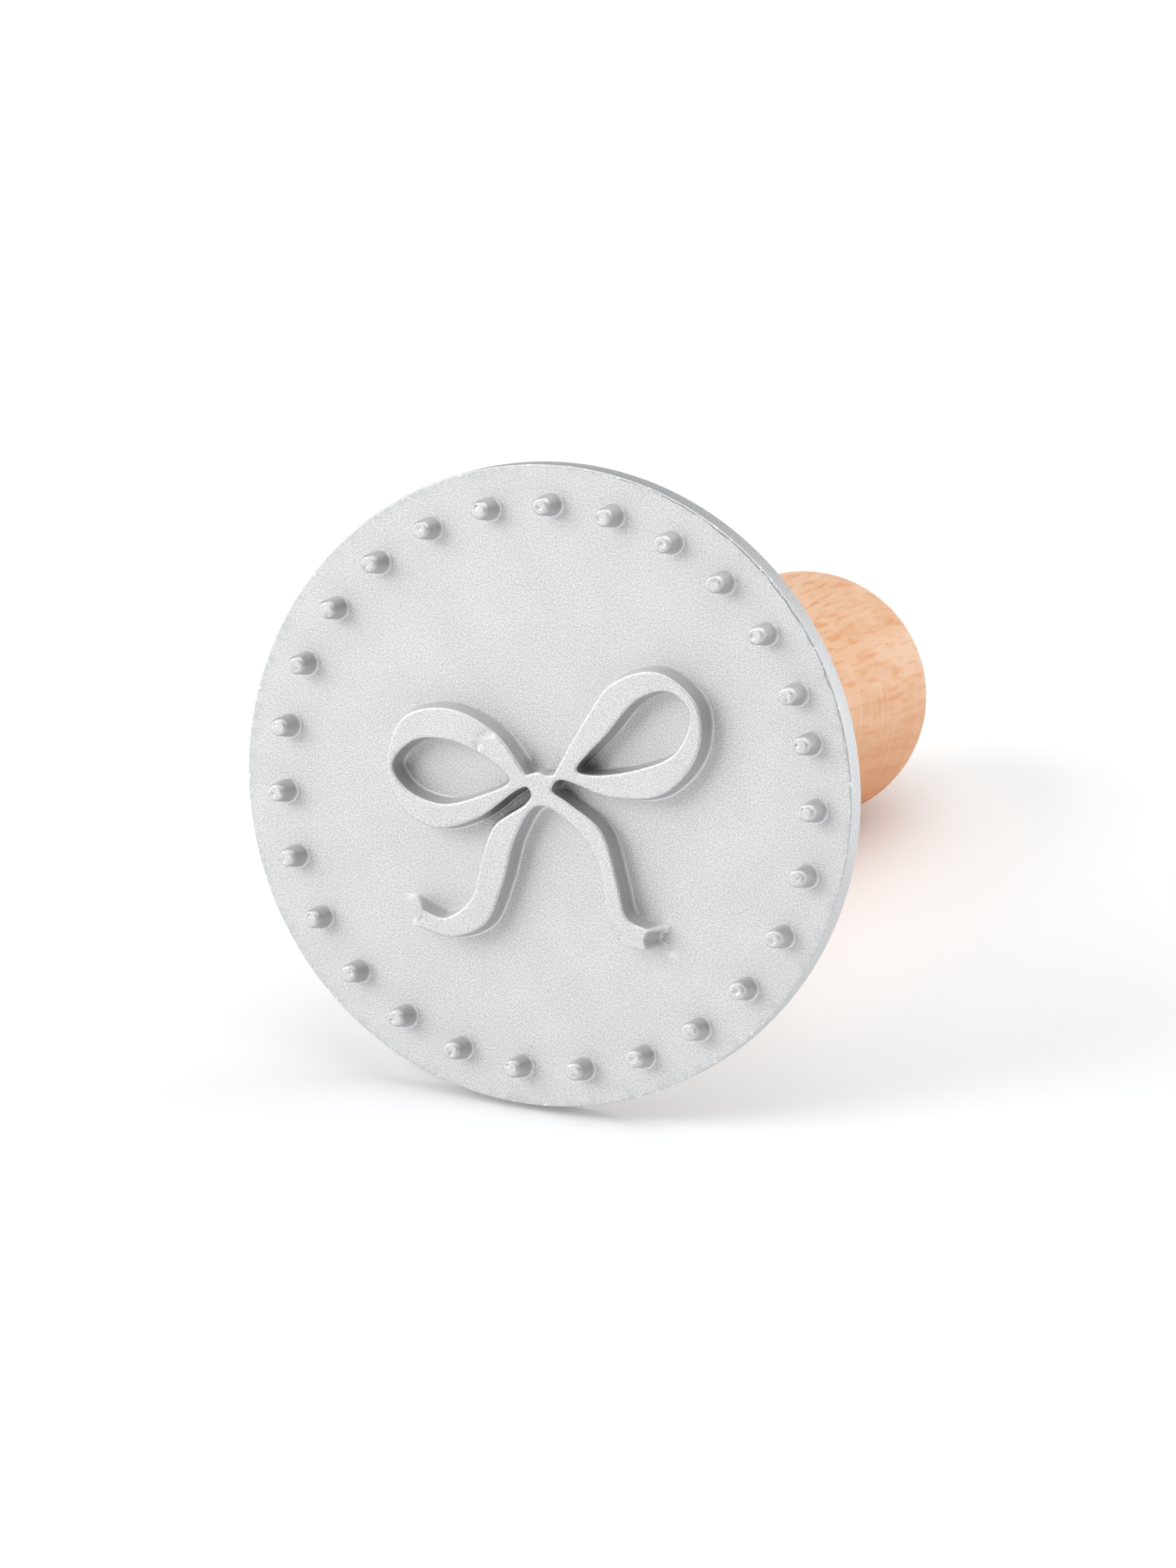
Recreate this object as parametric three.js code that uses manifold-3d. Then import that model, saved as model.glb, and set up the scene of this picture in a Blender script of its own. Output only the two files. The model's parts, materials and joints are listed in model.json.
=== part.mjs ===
// A cookie stamp lying on its side: a cast disc with a raised ribbon bow and a border of studs,
// screwed on to a turned wooden handle by a threaded stud.
//
// Each piece is drawn in the stamp's own axes. The axis is z, z = 0 is the face that carries the
// relief, the relief stands up from it and the handle runs down from it. The finished stamp is then
// laid down so that the rim and the handle's round end both touch the floor, z = 0.
import * as THREE from "three";
import { mergeVertices } from "three/addons/utils/BufferGeometryUtils.js";
import Module from "manifold-3d";

// Disc, in millimetres
const PLATE_RADIUS = 35;
const PLATE_THICKNESS = 3;
const PLATE_EDGE_BREAK = 0.3;

// Border of studs: the spacing is in degrees, and the last gap is what is left of the circle
const DOT_COUNT = 27;
const DOT_SPACING = 13.45;
const DOT_FIRST_ANGLE = 17.7;
const DOT_EDGE_MARGIN = 4.3;
const DOT_BASE_RADIUS = 1.25;
const DOT_TOP_RADIUS = 0.95;
const DOT_HEIGHT = 2.6;

// Ribbon bow: its drawing's unit in millimetres, and walls that lean back by the draft
const BOW_UNIT = 1;
const BOW_HEIGHT = 2.7;
const BOW_DRAFT = 0.4;

// Boss on the back of the disc, with a tapped hole that stops short of the face
const BOSS_HEIGHT = 8;
const BOSS_RADIUS = 9;
const BOSS_EDGE_BREAK = 0.4;
const BOSS_FOOT_FILLET = 2.5;
const HOLE_FLOOR_THICKNESS = 2.2;
const HOLE_MOUTH_BREAK = 0.6;

// Threaded stud: a machine thread in the boss, a plain shank and a coarse thread in the wood
const THREAD_RADIUS = 4;
const THREAD_PITCH = 1.25;
const THREAD_DEPTH = 0.7;
const SHANK_RADIUS = 3.6;
const SHANK_LENGTH = 3;
const WOOD_THREAD_PITCH = 3;
const WOOD_THREAD_DEPTH = 1;
const WOOD_THREAD_LENGTH = 24;
const STUD_POINT_LENGTH = 4;

// Washer between the boss and the handle
const WASHER_RADIUS = 8;
const WASHER_THICKNESS = 1.6;

// Turned handle, from its foot at the washer to its round end
const HANDLE_LENGTH = 79.8;
const HANDLE_FOOT_RADIUS = 9.5;
const HANDLE_FOOT_BREAK = 0.8;
const HANDLE_NECK_RADIUS = 8.4;
const HANDLE_NECK_FROM_FOOT = 11;
const KNOB_RADIUS = 14.3;
const KNOB_END_LENGTH = 12.4;

// Clearances between the pieces
const SEAT_GAP = 0.25;
const THREAD_GAP = 0.2;
const STUD_END_GAP = 0.5;

// Facets: sides round each turned piece, and steps along each curve. With two more than a multiple
// of four, a flat side faces the floor and a corner faces each way along x.
const RIM_SIDES = 74;
const HANDLE_SIDES = 30;
const DOT_SIDES = 10;
const THREAD_SIDES = 16;
const OUTLINE_STEPS = 4;
const FILLET_STEPS = 4;
const KNOB_STEPS = 8;
const SWELL_STEPS = 12;
const NECK_STEPS = 4;

// Relief is carried this far below the face, so that it joins the disc. A sharp corner's mitre is
// at most so many times the draft, and a wall takes at most this share of a narrow place's room.
const RELIEF_ROOT = 0.4;
const LONGEST_MITRE = 3.5;
const NARROW_SHARE = 0.9;

// The bow's top edges in its drawing's units, x to the right and y up as the face is seen.
// Three smooth edges run from tip to tip, and the knot's top edge and two notches join them.
const LEFT_LOOP_AND_TAIL = [
  [-1.5, 1.4], [-5.6, 5.4], [-11.3, 7.2], [-16.3, 5.5], [-17.7, 0.2], [-15.4, -4.4],
  [-11.2, -5.9], [-6.6, -4.1], [-2.4, -0.4], [-1.3, 0.1], [-0.7, -0.7], [-1.3, -1.8],
  [-4.6, -4.7], [-5.7, -8.5], [-6.5, -13], [-9.3, -15.55], [-12.1, -15.05],
];
const LEFT_NOTCH = [-11.7, -15.95];
const BETWEEN_TAILS = [
  [-12.6, -16.75], [-11.2, -17.2], [-8.4, -17.5], [-4.6, -15.5], [-3, -10.8], [-2, -5.4], [-0.3, -2],
  [1.3, -1.7], [5.3, -4], [7.9, -7.4], [9.3, -12.2], [11.3, -15.1], [14.2, -15.4],
];
const RIGHT_NOTCH = [13.7, -14.2];
const RIGHT_TAIL_AND_LOOP = [
  [14.2, -13.1], [11.7, -12.4], [10.1, -8.6], [7.7, -3.4], [3.6, -0.9], [1.6, 0.2],
  [2.2, 1.4], [8.4, 0.5], [14.2, 1.7], [17.7, 6.4], [17.2, 11.7], [12.3, 14.7],
  [7.3, 12.8], [4.6, 8.5], [1.6, 1.9],
];
const KNOT_TOP = [[1.6, 1.9], [0.7, 1.7], [-0.1, 1.9], [-1.5, 1.4]];
const LEFT_OPENING = [
  [-17, 0.2], [-14.9, 3.1], [-11, 3.8], [-6.6, 2.7],
  [-3.4, 0.5], [-6.3, -1.5], [-10.9, -3.2], [-15.2, -2.2],
];
const RIGHT_OPENING = [
  [4.2, 2.8], [7.2, 7.2], [10.6, 11.7], [13.9, 12.8],
  [16.4, 10.8], [15.2, 6.4], [11, 3.9], [5.6, 2.5],
];

// Places along the axis that the pieces share
const backFace = -PLATE_THICKNESS;
const bossTop = backFace - BOSS_HEIGHT;
const holeFloor = -HOLE_FLOOR_THICKNESS;
const washerFront = bossTop - SEAT_GAP;
const washerBack = washerFront - WASHER_THICKNESS;
const handleFoot = washerBack - SEAT_GAP;
const handleEnd = handleFoot - HANDLE_LENGTH;
const knobMiddle = handleEnd + KNOB_END_LENGTH;
const studFront = holeFloor - STUD_END_GAP;
const shankEnd = handleFoot - SHANK_LENGTH;
const studEnd = shankEnd - WOOD_THREAD_LENGTH;

const wasm = await Module();
wasm.setup();

// A closed three.js geometry as a solid that can be joined and cut
function solid(geometry) {
  const bare = geometry.clone();
  for (const name of ["normal", "uv"]) bare.deleteAttribute(name);
  const merged = mergeVertices(bare, 1e-4);
  const vertProperties = new Float32Array(merged.attributes.position.array);
  const corners = merged.index.array;
  const kept = [];
  for (let i = 0; i < corners.length; i += 3) {
    const [a, b, c] = corners.slice(i, i + 3);
    if (a !== b && b !== c && c !== a) kept.push(a, b, c);
  }
  return new wasm.Manifold(new wasm.Mesh({ numProp: 3, vertProperties, triVerts: new Uint32Array(kept) }));
}

function indexed(positions, corners) {
  const geometry = new THREE.BufferGeometry();
  geometry.setAttribute("position", new THREE.Float32BufferAttribute(positions, 3));
  return geometry.setIndex(corners);
}

// A solid of revolution about z. The profile is a list of [radius, z], from the axis at the bottom
// to the axis at the top, and a flat side, not a corner, faces -y.
function turned(profile, sides) {
  const points = profile.map(([radius, z]) => new THREE.Vector2(radius, z));
  return solid(new THREE.LatheGeometry(points, sides, Math.PI / sides).rotateX(Math.PI / 2));
}

const drawn = ([x, y]) => new THREE.Vector2(x, y).multiplyScalar(BOW_UNIT);

// A smooth curve through the points of the bow's drawing
function smooth(points, closed = false) {
  const through = points.map(drawn).map(({ x, y }) => new THREE.Vector3(x, y, 0));
  const curve = new THREE.CatmullRomCurve3(through, closed, "centripetal");
  const steps = OUTLINE_STEPS * (closed ? points.length : points.length - 1);
  const along = curve.getPoints(steps).map(({ x, y }) => new THREE.Vector2(x, y));
  return closed ? along.slice(0, -1) : along;
}

// An outline moved outwards by a distance, each corner along its mitre. Where two stretches face
// each other across a narrow place, each stops short of the middle of it: the circle that touches
// the outline here and passes through another of its points gives the room that there is.
function moved(outline, distance) {
  const outward = (from, to) => new THREE.Vector2(to.y - from.y, from.x - to.x).normalize();
  return outline.map((point, i) => {
    const before = outward(outline.at(i - 1), point);
    const after = outward(point, outline[(i + 1) % outline.length]);
    const mitre = before.clone().add(after).normalize();
    const stretch = Math.min(1 / Math.max(mitre.dot(before), 1e-3), LONGEST_MITRE);
    let room = Infinity;
    for (const other of outline) {
      const across = other.clone().sub(point);
      const ahead = across.dot(mitre);
      if (ahead > 0) room = Math.min(room, across.lengthSq() / (2 * ahead));
    }
    return point.clone().addScaledVector(mitre, Math.min(distance * stretch, NARROW_SHARE * room));
  });
}

// A raised figure with openings, whose walls lean back by the draft over its height
function relief(outline, openings, height, draft) {
  const facing = (points, clockwise) =>
    THREE.ShapeUtils.isClockWise(points) === clockwise ? points : [...points].reverse();
  const rings = [facing(outline, false), ...openings.map((points) => facing(points, true))];
  const footDraft = (draft * (height + RELIEF_ROOT)) / height;
  const top = rings.flat();
  const foot = rings.flatMap((ring) => moved(ring, footDraft));
  const positions = [
    ...top.flatMap(({ x, y }) => [x, y, height]),
    ...foot.flatMap(({ x, y }) => [x, y, -RELIEF_ROOT]),
  ];
  const below = top.length;
  const corners = [];
  for (const [a, b, c] of THREE.ShapeUtils.triangulateShape(rings[0], rings.slice(1))) {
    corners.push(a, b, c, below + c, below + b, below + a);
  }
  let start = 0;
  for (const ring of rings) {
    for (let i = 0; i < ring.length; i++) {
      const here = start + i;
      const next = start + ((i + 1) % ring.length);
      corners.push(here, below + here, next, next, below + here, below + next);
    }
    start += ring.length;
  }
  return solid(indexed(positions, corners));
}

// A right-handed threaded rod about z, from one height up to another. Its thread has a flat crest
// and a flat root, and every ring of points climbs one pitch in a turn, so that the ridge is a true
// helix. All threads of one pitch start from the same plane, so that a rod fits its hole.
function threaded(radius, depth, pitch, bottom, top) {
  const ridge = [radius - depth, radius - depth, radius, radius];
  const levels = ridge.length;
  const start = Math.floor(bottom / pitch - 2) * pitch;
  const rings = levels * Math.ceil((top - start) / pitch + 1);
  const row = THREAD_SIDES;
  const positions = [];
  for (let j = 0; j <= rings; j++) {
    for (let i = 0; i < row; i++) {
      const angle = (2 * Math.PI * i) / row;
      const r = ridge[j % levels];
      positions.push(r * Math.cos(angle), r * Math.sin(angle), start + (j / levels + i / row) * pitch);
    }
  }
  // Past the last point of a ring comes the first point of the ring one pitch above
  const at = (i, j) => (i < row ? j * row + i : (j + levels) * row);
  const corners = [];
  for (let j = 0; j < rings; j++) {
    for (let i = 0; i < row; i++) {
      if (i === row - 1 && j + levels >= rings) continue;
      corners.push(at(i, j), at(i + 1, j), at(i + 1, j + 1), at(i, j), at(i + 1, j + 1), at(i, j + 1));
    }
  }
  const lower = [];
  for (let i = 0; i < row; i++) lower.push(at(i, 0));
  for (let j = levels; j > 0; j--) lower.push(at(0, j));
  const upper = [];
  for (let j = rings - levels; j < rings; j++) upper.push(at(row - 1, j));
  for (let i = row - 1; i >= 0; i--) upper.push(at(i, rings));
  const cap = (loop, z) => {
    const middle = positions.length / 3;
    positions.push(0, 0, z);
    loop.forEach((corner, k) => corners.push(middle, loop[(k + 1) % loop.length], corner));
  };
  cap(lower, start);
  cap(upper, start + (rings / levels) * pitch);
  const around = radius + depth;
  const length = turned([[0, bottom], [around, bottom], [around, top], [0, top]], THREAD_SIDES);
  return solid(indexed(positions, corners)).intersect(length);
}

// The disc and its boss, one profile from the boss's top to the face
function plateBlank() {
  const fillet = [];
  for (let k = 0; k <= FILLET_STEPS; k++) {
    const angle = (Math.PI / 2) * (k / FILLET_STEPS);
    fillet.push([
      BOSS_RADIUS + BOSS_FOOT_FILLET * (1 - Math.cos(angle)),
      backFace - BOSS_FOOT_FILLET * (1 - Math.sin(angle)),
    ]);
  }
  return turned(
    [
      [0, bossTop],
      [BOSS_RADIUS - BOSS_EDGE_BREAK, bossTop],
      [BOSS_RADIUS, bossTop + BOSS_EDGE_BREAK],
      ...fillet,
      [PLATE_RADIUS - PLATE_EDGE_BREAK, backFace],
      [PLATE_RADIUS, backFace + PLATE_EDGE_BREAK],
      [PLATE_RADIUS, -PLATE_EDGE_BREAK],
      [PLATE_RADIUS - PLATE_EDGE_BREAK, 0],
      [0, 0],
    ],
    RIM_SIDES,
  );
}

// One stud of the border, a tapered peg with a domed top
function dot() {
  const dome = DOT_BASE_RADIUS - DOT_TOP_RADIUS;
  return turned(
    [
      [0, -RELIEF_ROOT],
      [DOT_BASE_RADIUS, -RELIEF_ROOT],
      [DOT_BASE_RADIUS, 0],
      [DOT_TOP_RADIUS, DOT_HEIGHT - dome],
      [DOT_TOP_RADIUS - dome, DOT_HEIGHT],
      [0, DOT_HEIGHT],
    ],
    DOT_SIDES,
  );
}

// The tapped hole, cut from the boss's top, with its mouth opened out
function tappedHole() {
  const radius = THREAD_RADIUS + THREAD_GAP;
  const outside = bossTop - HOLE_MOUTH_BREAK;
  const mouth = turned(
    [
      [0, outside],
      [radius + 2 * HOLE_MOUTH_BREAK, outside],
      [radius, bossTop + HOLE_MOUTH_BREAK],
      [0, bossTop + HOLE_MOUTH_BREAK],
    ],
    THREAD_SIDES,
  );
  return threaded(radius, THREAD_DEPTH, THREAD_PITCH, outside, holeFloor).add(mouth);
}

// The stamp plate: disc, boss, studs and bow in one casting
function stampPlate() {
  const bow = [
    ...smooth(LEFT_LOOP_AND_TAIL),
    drawn(LEFT_NOTCH),
    ...smooth(BETWEEN_TAILS),
    drawn(RIGHT_NOTCH),
    ...smooth(RIGHT_TAIL_AND_LOOP),
    ...smooth(KNOT_TOP).slice(1, -1),
  ];
  const openings = [smooth(LEFT_OPENING, true), smooth(RIGHT_OPENING, true)];
  const circle = PLATE_RADIUS - DOT_EDGE_MARGIN;
  const peg = dot();
  let plate = plateBlank().add(relief(bow, openings, BOW_HEIGHT, BOW_DRAFT));
  for (let k = 0; k < DOT_COUNT; k++) {
    const angle = THREE.MathUtils.degToRad(DOT_FIRST_ANGLE - DOT_SPACING * k);
    plate = plate.add(peg.translate(circle * Math.cos(angle), circle * Math.sin(angle), 0));
  }
  return plate.subtract(tappedHole());
}

// The stud: its front end is bevelled down to the thread's root, and its back end is a point
function threadedStud() {
  const around = THREAD_RADIUS + THREAD_DEPTH;
  const bevelled = turned(
    [
      [0, handleFoot],
      [around, handleFoot],
      [around, studFront - 2 * THREAD_DEPTH],
      [THREAD_RADIUS - THREAD_DEPTH, studFront],
      [0, studFront],
    ],
    THREAD_SIDES,
  );
  const pointed = turned(
    [
      [0, studEnd],
      [around, studEnd + (STUD_POINT_LENGTH * around) / THREAD_RADIUS],
      [around, shankEnd],
      [0, shankEnd],
    ],
    THREAD_SIDES,
  );
  const shankBack = shankEnd - WOOD_THREAD_PITCH / 2;
  const shankFront = handleFoot + THREAD_PITCH / 2;
  const shank = turned(
    [[0, shankBack], [SHANK_RADIUS, shankBack], [SHANK_RADIUS, shankFront], [0, shankFront]],
    THREAD_SIDES,
  );
  const machine = threaded(THREAD_RADIUS, THREAD_DEPTH, THREAD_PITCH, handleFoot, studFront);
  const coarse = threaded(THREAD_RADIUS, WOOD_THREAD_DEPTH, WOOD_THREAD_PITCH, studEnd, shankEnd);
  return shank.add(machine.intersect(bevelled)).add(coarse.intersect(pointed));
}

function washer() {
  const hole = THREAD_RADIUS + SEAT_GAP;
  const profile = [
    [hole, washerBack],
    [WASHER_RADIUS, washerBack],
    [WASHER_RADIUS, washerFront],
    [hole, washerFront],
    [hole, washerBack],
  ];
  return turned(profile, HANDLE_SIDES);
}

// Half a wave from 0 to 1, level at both ends
const swell = (t) => (1 - Math.cos(Math.PI * t)) / 2;

// The handle's outline as [radius, z], from its round end up to its foot
function handleProfile() {
  const neck = handleFoot - HANDLE_NECK_FROM_FOOT;
  const collar = handleFoot - HANDLE_FOOT_BREAK;
  const profile = [];
  for (let k = 0; k < KNOB_STEPS; k++) {
    const angle = (Math.PI / 2) * (k / KNOB_STEPS);
    profile.push([KNOB_RADIUS * Math.sin(angle), knobMiddle - KNOB_END_LENGTH * Math.cos(angle)]);
  }
  for (let k = 0; k < SWELL_STEPS; k++) {
    const t = k / SWELL_STEPS;
    const radius = KNOB_RADIUS + (HANDLE_NECK_RADIUS - KNOB_RADIUS) * swell(t);
    profile.push([radius, knobMiddle + (neck - knobMiddle) * t]);
  }
  for (let k = 0; k <= NECK_STEPS; k++) {
    const t = k / NECK_STEPS;
    const radius = HANDLE_NECK_RADIUS + (HANDLE_FOOT_RADIUS - HANDLE_NECK_RADIUS) * swell(t);
    profile.push([radius, neck + (collar - neck) * t]);
  }
  profile.push([HANDLE_FOOT_RADIUS - HANDLE_FOOT_BREAK, handleFoot], [0, handleFoot]);
  return profile;
}

function handle() {
  const bore = THREAD_RADIUS + SEAT_GAP;
  const hole = turned(
    [
      [0, studEnd - SEAT_GAP],
      [bore, studEnd + STUD_POINT_LENGTH - SEAT_GAP],
      [bore, handleFoot + SEAT_GAP],
      [0, handleFoot + SEAT_GAP],
    ],
    THREAD_SIDES,
  );
  return turned(handleProfile(), HANDLE_SIDES).subtract(hole);
}

// How far the axis tips back so that the rim's back edge and the knob rest on the same floor
function restTilt() {
  const flatRim = Math.cos(Math.PI / RIM_SIDES);
  const flatHandle = Math.cos(Math.PI / HANDLE_SIDES);
  const reach = (points, flat, tilt) =>
    Math.max(...points.map(([radius, z]) => radius * flat * Math.cos(tilt) - z * Math.sin(tilt)));
  const rim = [[PLATE_RADIUS, backFace + PLATE_EDGE_BREAK], [PLATE_RADIUS - PLATE_EDGE_BREAK, backFace]];
  const profile = handleProfile();
  let low = 0;
  let high = Math.PI / 4;
  for (let k = 0; k < 50; k++) {
    const middle = (low + high) / 2;
    if (reach(rim, flatRim, middle) > reach(profile, flatHandle, middle)) low = middle;
    else high = middle;
  }
  return low;
}

function piece(name, body, color, roughness, metalness) {
  const { vertProperties, triVerts } = body.getMesh();
  const geometry = indexed(vertProperties, [...triVerts]);
  geometry.computeVertexNormals();
  const mesh = new THREE.Mesh(geometry, new THREE.MeshStandardMaterial({ color, roughness, metalness }));
  mesh.name = name;
  return mesh;
}

const stamp = new THREE.Group();
stamp.add(
  piece("stamp_plate", stampPlate(), 0xd3d5d6, 0.55, 1),
  piece("threaded_stud", threadedStud(), 0xb9bcc0, 0.3, 1),
  piece("washer", washer(), 0xc4c6c8, 0.35, 1),
  piece("handle", handle(), 0xe6ba8e, 0.5, 0),
);
stamp.rotation.x = Math.PI / 2 - restTilt();

// Laid on the floor, with the middle of its box over the origin
const box = new THREE.Box3().setFromObject(stamp, true);
stamp.position.set(0, -(box.min.y + box.max.y) / 2, -box.min.z);

const part = new THREE.Group();
part.add(stamp);
export default part;
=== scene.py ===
# %% [markdown]
# # A cookie stamp on a pale table
# The stamp lies on its side, on its rim and on the round end of its handle. Its sizes and its place
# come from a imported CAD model, which is loaded first and never moved. The finer pieces could be
# sculpted over that model by eye, but a sculpted mesh can't be changed by one number. So every surface
# here is worked out in millimetres in the stamp's own axes and is then carried into the model's frame,
# in metres.

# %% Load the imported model
import json

import bmesh
import bpy
import numpy as np
from mathutils.geometry import delaunay_2d_cdt
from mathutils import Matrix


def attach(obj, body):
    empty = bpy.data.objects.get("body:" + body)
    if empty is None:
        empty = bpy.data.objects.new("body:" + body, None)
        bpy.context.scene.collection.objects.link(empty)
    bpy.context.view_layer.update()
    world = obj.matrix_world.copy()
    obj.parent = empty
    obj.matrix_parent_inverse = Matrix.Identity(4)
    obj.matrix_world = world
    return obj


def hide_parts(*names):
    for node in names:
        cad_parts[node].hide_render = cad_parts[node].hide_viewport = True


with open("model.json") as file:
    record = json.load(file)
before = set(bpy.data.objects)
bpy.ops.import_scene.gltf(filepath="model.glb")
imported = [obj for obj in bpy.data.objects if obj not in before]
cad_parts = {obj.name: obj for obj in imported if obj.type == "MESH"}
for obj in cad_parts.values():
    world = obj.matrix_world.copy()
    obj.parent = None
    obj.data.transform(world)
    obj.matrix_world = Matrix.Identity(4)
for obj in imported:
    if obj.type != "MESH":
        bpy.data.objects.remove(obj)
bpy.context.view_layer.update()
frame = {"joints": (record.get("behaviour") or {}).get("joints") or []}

# %% [markdown]
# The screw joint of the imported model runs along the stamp's axis and passes through the middle of
# the stamping face. It gives the three directions that everything is drawn in: across the face, up
# the face, and out of it. They could be typed in as angles, but taken from the joint they can't
# disagree with the model.

# %% The stamp's own axes
screw = next(joint for joint in frame["joints"] if joint["name"] == "plate_screw")
FACE_CENTRE = np.array(screw["pos_m"])
OUT = np.array(screw["axis"]) / np.linalg.norm(screw["axis"])
ACROSS = np.array([1.0, 0.0, 0.0])
STAMP_AXES = np.array([ACROSS, np.cross(OUT, ACROSS), OUT])
TILT = np.arctan2(OUT[2], -OUT[1])
MM = 0.001


def in_frame(points):
    """Points in the stamp's millimetres become points of the CAD frame in metres: each is the
    face's centre plus so much across, so much up and so much out."""
    return FACE_CENTRE + points @ STAMP_AXES * MM


print("the axis is tipped back by", round(float(np.degrees(TILT)), 2), "degrees")

# %% [markdown]
# The camera repeats the photograph's: a long lens, a little to the right of the stamp and above it.
# A camera can be dragged into place or told to track a target. Here it has a measured place, given
# from the middle of the face, and two angles, so that the same picture always comes back.

# %% Camera
CAMERA_FROM_FACE = np.array([381.15, -925.23, 443.83]) * MM
CAMERA_AZIMUTH, CAMERA_ELEVATION = np.radians([22.134, 23.904])
FOCAL_LENGTH_MM = 233.37
SENSOR_WIDTH_MM = 36
NEAREST_M = 0.05
camera = bpy.data.objects.new("camera", bpy.data.cameras.new("camera"))
bpy.context.scene.collection.objects.link(camera)
camera.location = FACE_CENTRE + CAMERA_FROM_FACE
camera.rotation_euler = (np.pi / 2 - CAMERA_ELEVATION, 0, CAMERA_AZIMUTH)
camera.data.lens = FOCAL_LENGTH_MM
camera.data.sensor_width = SENSOR_WIDTH_MM
camera.data.clip_start = NEAREST_M
bpy.context.scene.camera = camera
print("camera", round(float(np.linalg.norm(CAMERA_FROM_FACE)), 3), "m from the face")

# %% [markdown]
# Materials are built from nodes. They could be wired by hand in the shader editor, but a script can
# be read and repeated. One function adds a node, sets what is given, links what is a socket and hands
# back the output that is wanted. Colours are written as they look on a screen and are turned to the
# linear values that the renderer works in.

# %% Colours and nodes
def linear(hexcode):
    """An sRGB hex colour as linear red, green, blue and full alpha, by the standard's own curve: dark
    values are divided by a constant, the others are shifted, scaled and raised to a power."""
    srgb = np.array([int(hexcode[i:i + 2], 16) for i in (1, 3, 5)]) / 255
    return (*np.where(srgb <= 0.04045, srgb / 12.92, ((srgb + 0.055) / 1.055) ** 2.4), 1.0)


def add(tree, kind, sockets=None, out=None, **settings):
    """Adds one node: its settings are set, each socket gets a value or a link, and the output of the
    given name comes back, or else the first one."""
    node = tree.nodes.new("ShaderNode" + kind)
    for name, value in settings.items():
        setattr(node, name, value)
    for name, value in (sockets or {}).items():
        socket = next(s for k, s in enumerate(node.inputs) if name in (k, s.name) and s.enabled)
        if isinstance(value, bpy.types.NodeSocket):
            tree.links.new(value, socket)
        else:
            socket.default_value = value
    return next((s for s in node.outputs if s.enabled and out in (None, s.name)), None)


print("the screen's middle grey is", round(float(linear("#808080")[0]), 3), "in linear light")

# %% [markdown]
# A pattern needs a place to be measured from. It could follow a UV map, but that would have to be
# unwrapped and would stretch. Object coordinates, turned and scaled to the stamp's own millimetres,
# make a size in a pattern a size on the object.

# %% A place for patterns
def new_material(name):
    """An empty material, its node tree and a place in the stamp's millimetres: across, up and out."""
    material = bpy.data.materials.new(name)
    material.use_nodes = True
    tree = material.node_tree
    tree.nodes.clear()
    place = add(tree, "Mapping", {
        "Vector": add(tree, "TexCoord", out="Object"), "Scale": (1 / MM,) * 3,
        "Rotation": (TILT - np.pi / 2, 0, 0), "Location": -STAMP_AXES @ FACE_CENTRE / MM})
    return material, tree, place


print("patterns are placed from", np.round(FACE_CENTRE / MM, 2).tolist(), "mm")

# %% [markdown]
# The plate is cast in aluminium and then blasted with fine grit, which leaves a matte, sparkling skin
# of tiny dents. A picture of such a skin could be wrapped round the plate, but it would blur in a
# close view, so the dents are noise that is worked out at every point. Real dents are mostly under
# a tenth of a millimetre across, too fine to show, so they are drawn two pixels wide. A second noise,
# some millimetres across, is the faint cloud that an uneven blast leaves.

# %% Skin of blasted aluminium
# Numbers carried at each point: the wall's finish, a painted highlight on edges and painted shade in
# deep places.
FINISH_AND_PAINTED_LIGHT = ("wall", "edge", "deep")
PIXELS_PER_MM = 12
GRIT_MM = 0.17
CLOUD_MM = 7
cast_aluminium, tree, place = new_material("blasted_cast_aluminium")
on_wall, painted_highlight, painted_shade = (
    add(tree, "Attribute", out="Fac", attribute_name=label) for label in FINISH_AND_PAINTED_LIGHT)
grit = add(tree, "TexNoise", {"Vector": place, "Scale": 1 / GRIT_MM, "Detail": 1.0})
cloud = add(tree, "TexNoise", {"Vector": place, "Scale": 1 / CLOUD_MM, "Detail": 2.0})
tone = add(tree, "MapRange", {"Value": grit, "From Min": 0.25, "From Max": 0.75})
haze = add(tree, "MapRange", {"Value": cloud, "From Min": 0.3, "From Max": 0.7})
speck = add(tree, "Mix", {"Factor": tone, "A": linear("#C5C6C6"), "B": linear("#F3F3F4")},
            data_type="RGBA")
veil = add(tree, "Mix", {"Factor": haze, "A": linear("#FAFAFA"), "B": linear("#FFFFFF")},
           data_type="RGBA")
skin = add(tree, "Mix", {"Factor": 1.0, "A": speck, "B": veil},
           data_type="RGBA", blend_type="MULTIPLY")
print("grit is", round(GRIT_MM * PIXELS_PER_MM, 1), "pixels wide in a picture 1500 wide")

# %% [markdown]
# The blast strikes flat faces squarely and steep walls only at a slant, so the walls stay smoother and a
# little darker. The ledges and the tails' outer corners are made lighter: a painted highlight. The
# narrow slots, the foot of crowded walls and the bottoms of the pegs' pits are made dark grey, in specks
# that follow the grit: painted shade. Each could be a material of its own, but then hard borders would
# show. Instead every point of the mesh carries three numbers, for the wall, the painted highlight (edge)
# and the painted shade (deep), and the colours fade into each other by them.

# %% Walls, edges and slots
smooth = add(tree, "MapRange", {"Value": on_wall, "To Max": 0.75})
skin = add(tree, "Mix", {"Factor": smooth, "A": skin, "B": linear("#BEC0C2")}, data_type="RGBA")
# Painted highlight: the ledges and the tails' outer corners are made lighter.
skin = add(tree, "Mix", {"Factor": painted_highlight, "A": skin, "B": linear("#F0F1F2")}, data_type="RGBA")
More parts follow.
